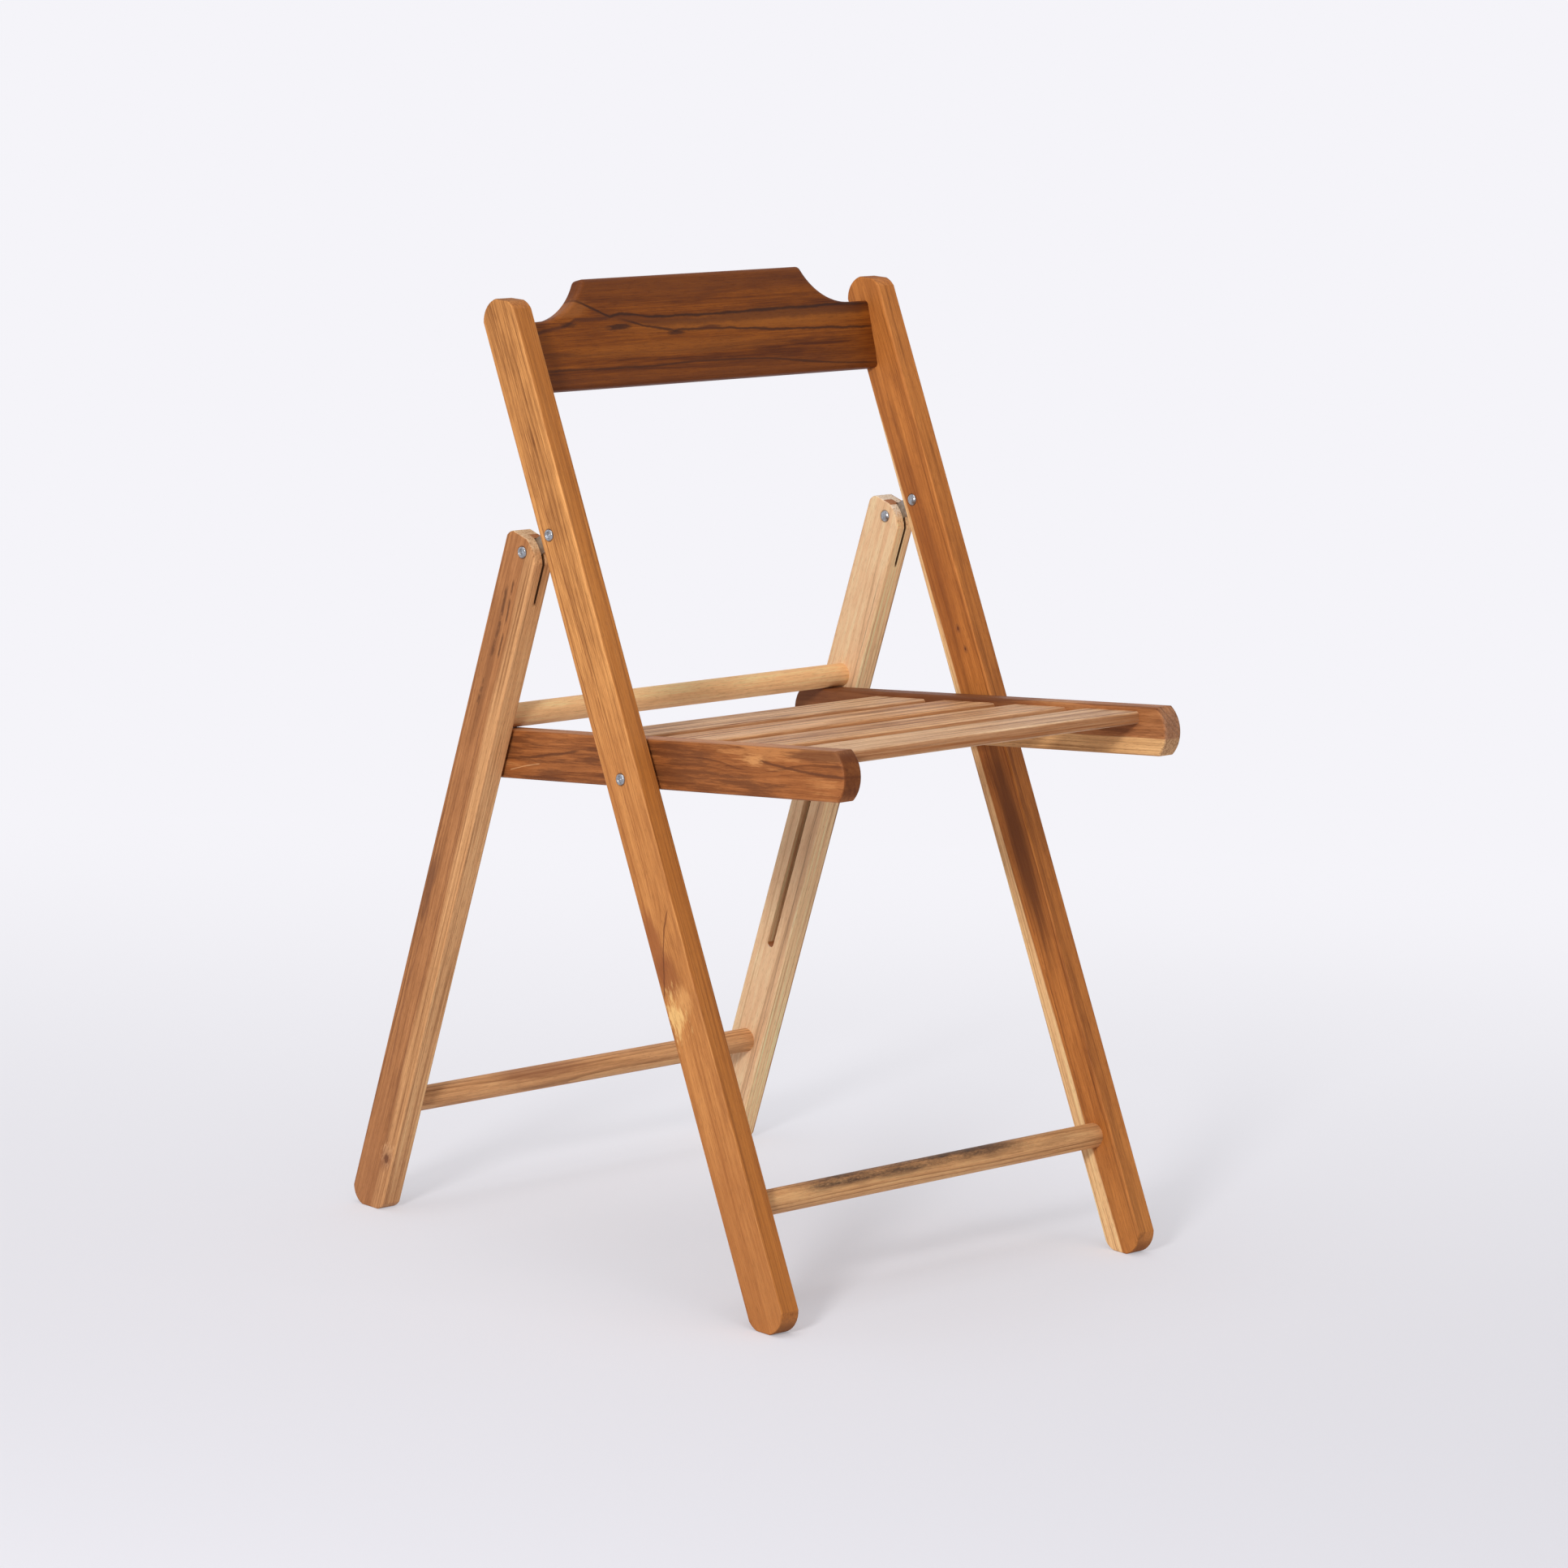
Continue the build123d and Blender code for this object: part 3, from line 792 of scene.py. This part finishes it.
def steel(name, nodes, tone, gloss, brush):
    """Plated steel with clouds, fine scuffs, and brush lines of the given lengths in millimetres."""
    material, shader, place = blank(name)
    scale = [MILLIMETRES / length for length in brush]
    drawn = place.node("VectorMath", {0: place, 1: scale}, operation="MULTIPLY")
    scuff = drawn.node("TexNoise", {"Vector": drawn, "Scale": 1, "Detail": 3})
    cloud = place.node("TexNoise", {"Vector": place, "Scale": MILLIMETRES / CLOUD_LENGTH, "Detail": 2})
    colour = tint(smooth(cloud, 0.35, 0.7), darker(tone, 0.72), tone)
    rough = gloss + scuff * 0.22
    relief = scuff.node("Bump", {"Strength": 0.2, "Distance": SCUFF_DEPTH, "Height": scuff}, "Normal")
    plug(shader, Base_Color=colour, Roughness=rough, Normal=relief, Metallic=1.0)
    for node in nodes:
        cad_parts[node].material_slots[0].material = material
    print(name, "on", len(nodes), "nodes")
    return material


front_rivets = sides("front_hinge_rivet", "seat_pivot_rivet")
rear_rivets = sides("rear_hinge_rivet")
flat_steel = sides("hinge_link", "pivot_spacer")
rivet_zinc = steel("rivet_zinc", front_rivets + rear_rivets, srgb(172, 177, 184), gloss=0.12,
                   brush=(1, 1, 1))
steel("link_steel", flat_steel, srgb(176, 174, 170), gloss=0.3, brush=(0.3, 6, 6))
steel("pin_steel", sides("guide_pin"), srgb(168, 166, 162), gloss=0.28, brush=(4, 0.3, 0.3))

# %% [markdown]
# ## Rivet heads
# Six tubular rivets hold the hinges and the seat. Each has a domed head inside and, outside, a rim that
# was rolled over and left a shallow dish. The CAD rivets are plain, so their heads are turned again here.
# One tree of Geometry Nodes can make them all, so it is given its sizes as named inputs, and it serves
# both bodies.

# %% Name the tree's inputs
RIM_HEIGHT = 0.0013  # metres, as all lengths in this tree
DOME_HEIGHT = 0.0022
SHANK_RADIUS = 0.0029
sizes = {"Head Radius": HEAD_RADIUS / MILLIMETRES, "Rim Height": RIM_HEIGHT, "Dome Height": DOME_HEIGHT,
         "Shank Radius": SHANK_RADIUS}
heads = bpy.data.node_groups.new("rivet_heads", "GeometryNodeTree")
heads.is_modifier = True
heads.interface.new_socket("Geometry", in_out="INPUT", socket_type="NodeSocketGeometry")
for name in sizes:
    heads.interface.new_socket(name, in_out="INPUT", socket_type="NodeSocketFloat")
heads.interface.new_socket("Segments", in_out="INPUT", socket_type="NodeSocketInt")
heads.interface.new_socket("Finish", in_out="INPUT", socket_type="NodeSocketMaterial")
heads.interface.new_socket("Geometry", in_out="OUTPUT", socket_type="NodeSocketGeometry")
given = {socket.name: Wire(socket) for socket in heads.nodes.new("NodeGroupInput").outputs if socket.name}
start = given["Geometry"]
print("Rivet tree takes", list(given))

# %% [markdown]
# ## A head turned from a grid
# A head is round, so it is made as on a lathe: a profile is turned about an axis. Spinning an outline in a
# mesh would do it once, but the tree bends a grid instead, so that its sizes can still change. One side
# of the grid runs round the axis, and two curves say how far out and how high the other side goes.

# %% Bend a grid into a head
from math import pi

SEAM = 0.000001  # points closer than this are joined
PROFILES = {
    "rim": ((0, 0.5), (0.14, 0.46), (0.3, 0.16), (0.42, 0.2), (0.56, 0.9), (0.68, 1), (0.84, 0.88),
            (0.95, 0.5), (1, 0.1), (1, 0), (0.5, 0), (0, 0)),
    "dome": ((0, 1), (0.25, 0.96), (0.5, 0.83), (0.72, 0.6), (0.88, 0.36), (0.97, 0.16), (1, 0.04), (1, 0),
             (0.5, 0), (0, 0)),
    "shank": ((0, 0), (1, 0), (1, 0.03), (1, 0.97), (1, 1), (0, 1)),
}


def turned(profile, radius, height):
    """A grid bent round the Z axis, closed at its seam and poles."""
    outline = PROFILES[profile]
    columns = given["Segments"] + 1
    grid = start.node("GeometryNodeMeshGrid", {"Vertices X": columns, "Vertices Y": given["Segments"]})
    spot = start.node("SeparateXYZ", {0: start.node("GeometryNodeInputPosition", {})})
    side = Wire(spot.socket.node.outputs["Y"]) + 0.5
    angle = spot * (-2 * pi)
    last = len(outline) - 1
    reach, rise = [
        start.node("FloatCurve", {"Value": side}, stops=[
            (step / last, point[part]) for step, point in enumerate(outline)])
        for part in (0, 1)]
    reach = reach * radius
    round_x = reach * start.sum("COSINE", angle)
    round_y = reach * start.sum("SINE", angle)
    ring = start.node("CombineXYZ", {0: round_x, 1: round_y, 2: rise * height})
    bent = start.node("GeometryNodeSetPosition", {"Geometry": grid, "Position": ring})
    closed = start.node("GeometryNodeMergeByDistance", {"Geometry": bent, "Distance": SEAM})
    return start.node("GeometryNodeSetShadeSmooth", {"Geometry": closed})


print("Points in each profile:", {name: len(outline) for name, outline in PROFILES.items()})

# %% [markdown]
# ## A head on every point
# Each point stands where a rivet meets the wood, and carries the way out and the length of the shank.
# Heads that are copied by hand would have to be copied again whenever a rivet moves, so the tree sets
# them. On an outer face the length is 0 and the point gets a rim. On an inner face it gets a dome, and
# a shank that is stretched back to the other face. Three rows of instances are joined, made real and
# given their zinc.

# %% Set a rim, a dome or a shank on each point


def stored(name, kind):
    """A value that each point carries."""
    return start.node("GeometryNodeInputNamedAttribute", {"Name": name}, data_type=kind)


outward = stored("outward", "FLOAT_VECTOR")
grip = stored("grip", "FLOAT")
inward = start.node("VectorMath", {0: outward, "Scale": -1.0}, operation="SCALE")
turns = [start.node("FunctionNodeAlignRotationToVector", {"Vector": way}, axis="Z")
         for way in (outward, inward)]
inside = start.sum("GREATER_THAN", grip, 0)
stretch = start.node("CombineXYZ", {0: 1.0, 1: 1.0, 2: grip})
rows = [
    {"Instance": turned("rim", given["Head Radius"], given["Rim Height"]), "Selection": 1 - inside,
     "Rotation": turns[0]},
    {"Instance": turned("dome", given["Head Radius"], given["Dome Height"]), "Selection": inside,
     "Rotation": turns[0]},
    {"Instance": turned("shank", given["Shank Radius"], 1.0), "Selection": inside, "Rotation": turns[1],
     "Scale": stretch},
]
joined = heads.nodes.new("GeometryNodeJoinGeometry")
for row in rows:
    placed = start.node("GeometryNodeInstanceOnPoints", {"Points": start, **row})
    heads.links.new(placed.socket, joined.inputs[0])
real = start.node("GeometryNodeRealizeInstances", {"Geometry": Wire(joined.outputs[0])})
finished = start.node("GeometryNodeSetMaterial", {"Geometry": real, "Material": given["Finish"]})
heads.links.new(finished.socket, heads.nodes.new("NodeGroupOutput").inputs[0])
print("Rivet tree:", len(heads.nodes), "nodes")

# %% [markdown]
# ## Rivets on the chair
# A rivet's box in the frame gives its middle and both faces of the wood that it clamps. Each face becomes
# one point that carries the way out and, for the inner face, the length of the shank. The heads could be
# six objects, but the rivets of one body move as one, so each body gets one piece.

# %% Set the heads on one body's rivets
SEGMENTS = 48  # steps round a head
identifiers = {item.name: item.identifier for item in heads.interface.items_tree if item.in_out == "INPUT"}


def rivet_points(nodes):
    """Where these CAD rivets meet the wood, the way out there, and the length of the shank."""
    points, ways, grips = [], [], []
    for node in nodes:
        low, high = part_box(node)
        middle = (low + high) / 2
        outer_side = 1 if middle.x > 0 else -1
        face_out = max(abs(low.x), abs(high.x)) - RIM_HEIGHT
        face_in = min(abs(low.x), abs(high.x)) + DOME_HEIGHT
        for out, way, length in ((face_out, outer_side, 0), (face_in, -outer_side, face_out - face_in)):
            points.append((out * outer_side, middle.y, middle.z))
            ways.append((way, 0, 0))
            grips.append(length)
    return points, ways, grips


def rivet(piece, body, nodes):
    """Heads and shanks for these CAD rivets, as one piece of a body."""
    points, ways, grips = rivet_points(nodes)
    mesh = bpy.data.meshes.new(piece)
    mesh.from_pydata(points, [], [])
    mesh.attributes.new("outward", "FLOAT_VECTOR", "POINT").data.foreach_set("vector", np.ravel(ways))
    mesh.attributes.new("grip", "FLOAT", "POINT").data.foreach_set("value", grips)
    made = bpy.data.objects.new(piece, mesh)
    bpy.context.scene.collection.objects.link(made)
    modifier = made.modifiers.new("heads", "NODES")
    modifier.node_group = heads
    for name, value in {**sizes, "Segments": SEGMENTS, "Finish": rivet_zinc}.items():
        modifier[identifiers[name]] = value
    evaluated = made.evaluated_get(bpy.context.evaluated_depsgraph_get())
    plain = bpy.data.meshes.new_from_object(evaluated)
    made.modifiers.clear()
    made.data = plain
    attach(made, body)
    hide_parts(*nodes)
    print(piece, len(nodes), "rivets,", len(plain.polygons), "faces")


rivet("front_rivets", "front_frame", front_rivets)
rivet("rear_rivets", "rear_frame", rear_rivets)

# %% [markdown]
# ## Floor
# The chair stands on a wide sheet of pale paper. In a studio the sheet is bent up behind the chair, but
# that would hide the chair from the back, so the floor is one flat square that reaches the horizon.

# %% Lay the floor
FLOOR_HALF = 45  # metres
corners = [(-FLOOR_HALF, -FLOOR_HALF, 0), (FLOOR_HALF, -FLOOR_HALF, 0), (FLOOR_HALF, FLOOR_HALF, 0),
           (-FLOOR_HALF, FLOOR_HALF, 0)]
floor_mesh = bpy.data.meshes.new("floor")
floor_mesh.from_pydata(corners, [], [(0, 1, 2, 3)])
floor = bpy.data.objects.new("floor", floor_mesh)
bpy.context.scene.collection.objects.link(floor)
print("Floor", FLOOR_HALF * 2, "metres wide")

# %% [markdown]
# ## Paper that pales with distance
# Behind the chair the paper is paler than in front. More light there would bleach the wood, so the paper
# has a glow that only the camera and mirrors see: faint near the chair, where the shadow lies, and full
# far off, soonest behind the chair.

# %% Dress the floor in paper
from math import cos, radians, sin

camera_heading = radians(45.524)
heading = (cos(camera_heading), sin(camera_heading), 0)
NEAR_GLOW = 0.15
FADE_BEHIND = (-1.0, 1.7)  # metres past the chair, seen from the camera
FADE_ROUND = (1.1, 3.6)  # metres from the chair
backdrop_white = srgb(245, 244, 249)


def seen(tree):
    """1 for rays that come straight from the camera, or by way of a gloss or a glass."""
    path = tree.nodes.new("ShaderNodeLightPath")
    kinds = ("Camera", "Glossy", "Transmission")
    straight, gloss, glass = [Wire(path.outputs[f"Is {kind} Ray"]) for kind in kinds]
    return straight.sum("MAXIMUM", straight.sum("MAXIMUM", straight, gloss), glass)


paper, paper_shader, spot = blank("paper")
behind = spot.node("VectorMath", {0: spot, 1: heading}, "Value", operation="DOT_PRODUCT")
tooth = spot.node("TexNoise", {"Vector": spot, "Scale": 900, "Detail": 2})
plug(paper_shader, Base_Color=tint(tooth, srgb(232, 231, 236), srgb(236, 235, 240)), Roughness=0.9,
     Specular_IOR_Level=0.1)
rays = seen(spot.tree)
glow = rays.node("Emission", {"Color": backdrop_white, "Strength": 1})
away = spot.node("VectorMath", {0: spot}, "Value", operation="LENGTH")
far = spot.sum("MAXIMUM", smooth(behind, *FADE_BEHIND), smooth(away, *FADE_ROUND))
share = (far * (1 - NEAR_GLOW) + NEAR_GLOW) * rays
mixed = share.node("MixShader", {0: share, 1: Wire(paper_shader.outputs[0]), 2: glow})
spot.tree.links.new(mixed.socket, spot.tree.nodes["Material Output"].inputs["Surface"])
floor_mesh.materials.append(paper)
print("Paper glows by", NEAR_GLOW, "near the chair and by 1 far off")

# %% [markdown]
# ## Light
# One soft lamp stands to the left of the camera, a larger one hangs overhead, and a pale room fills
# the shadows. More lamps would flatten the legs, whose front edges are darker than their sides. The
# levels are set so that a colour renders about as it was written.

# %% Light the room
from mathutils import Quaternion, Vector

AIM = Vector((0, 0, 0.4))  # the middle of the chair
ROOM_FILL = 0.4  # the room's level for the wood; the camera sees it at 1


def lamp(name, place, size, watts):
    """A square soft lamp that faces the chair."""
    light = bpy.data.lights.new(name, "AREA")
    light.size = size
    light.energy = watts
    stand = bpy.data.objects.new(name, light)
    stand.location = place
    stand.rotation_euler = (AIM - Vector(place)).to_track_quat("-Z", "Y").to_euler()
    bpy.context.scene.collection.objects.link(stand)
    print(name, "at", place, watts, "watts")


lamp("window_lamp", (-4.4, -2.1, 2.2), size=0.8, watts=148)
lamp("overhead_lamp", (-0.6, -0.4, 4.6), size=3.4, watts=66)

world = bpy.data.worlds.new("room")
world.use_nodes = True
bpy.context.scene.world = world
backdrop = world.node_tree.nodes["Background"]
backdrop.inputs["Color"].default_value = backdrop_white
level = seen(world.node_tree) * (1 - ROOM_FILL) + ROOM_FILL
world.node_tree.links.new(level.socket, backdrop.inputs["Strength"])

# %% [markdown]
# ## Camera
# The camera stands where the photographer did: far back and higher than the chair, with a long lens and
# a slight roll. A short lens close to the chair would spread its legs.

# %% Set the camera
CAMERA_PLACE = (-3.4985, -3.5713, 1.329)  # metres
FOCAL_LENGTH = 139.02  # millimetres, like the sensor's width
SENSOR_WIDTH = 36
FARTHEST = 200  # metres
camera_dip = radians(10.666)
camera_roll = radians(2.28)
lens = bpy.data.cameras.new("camera")
lens.lens = FOCAL_LENGTH
lens.sensor_width = SENSOR_WIDTH
lens.clip_end = FARTHEST
camera = bpy.data.objects.new("camera", lens)
camera.location = CAMERA_PLACE
view = Vector((heading[0] * cos(camera_dip), heading[1] * cos(camera_dip), -sin(camera_dip)))
camera.rotation_mode = "QUATERNION"
camera.rotation_quaternion = view.to_track_quat("-Z", "Y") @ Quaternion((0, 0, 1), camera_roll)
bpy.context.scene.collection.objects.link(camera)
bpy.context.scene.camera = camera
bpy.context.scene.view_settings.view_transform = "Standard"
print("Camera at", CAMERA_PLACE, "looking", [round(part, 3) for part in view])

# %% [markdown]
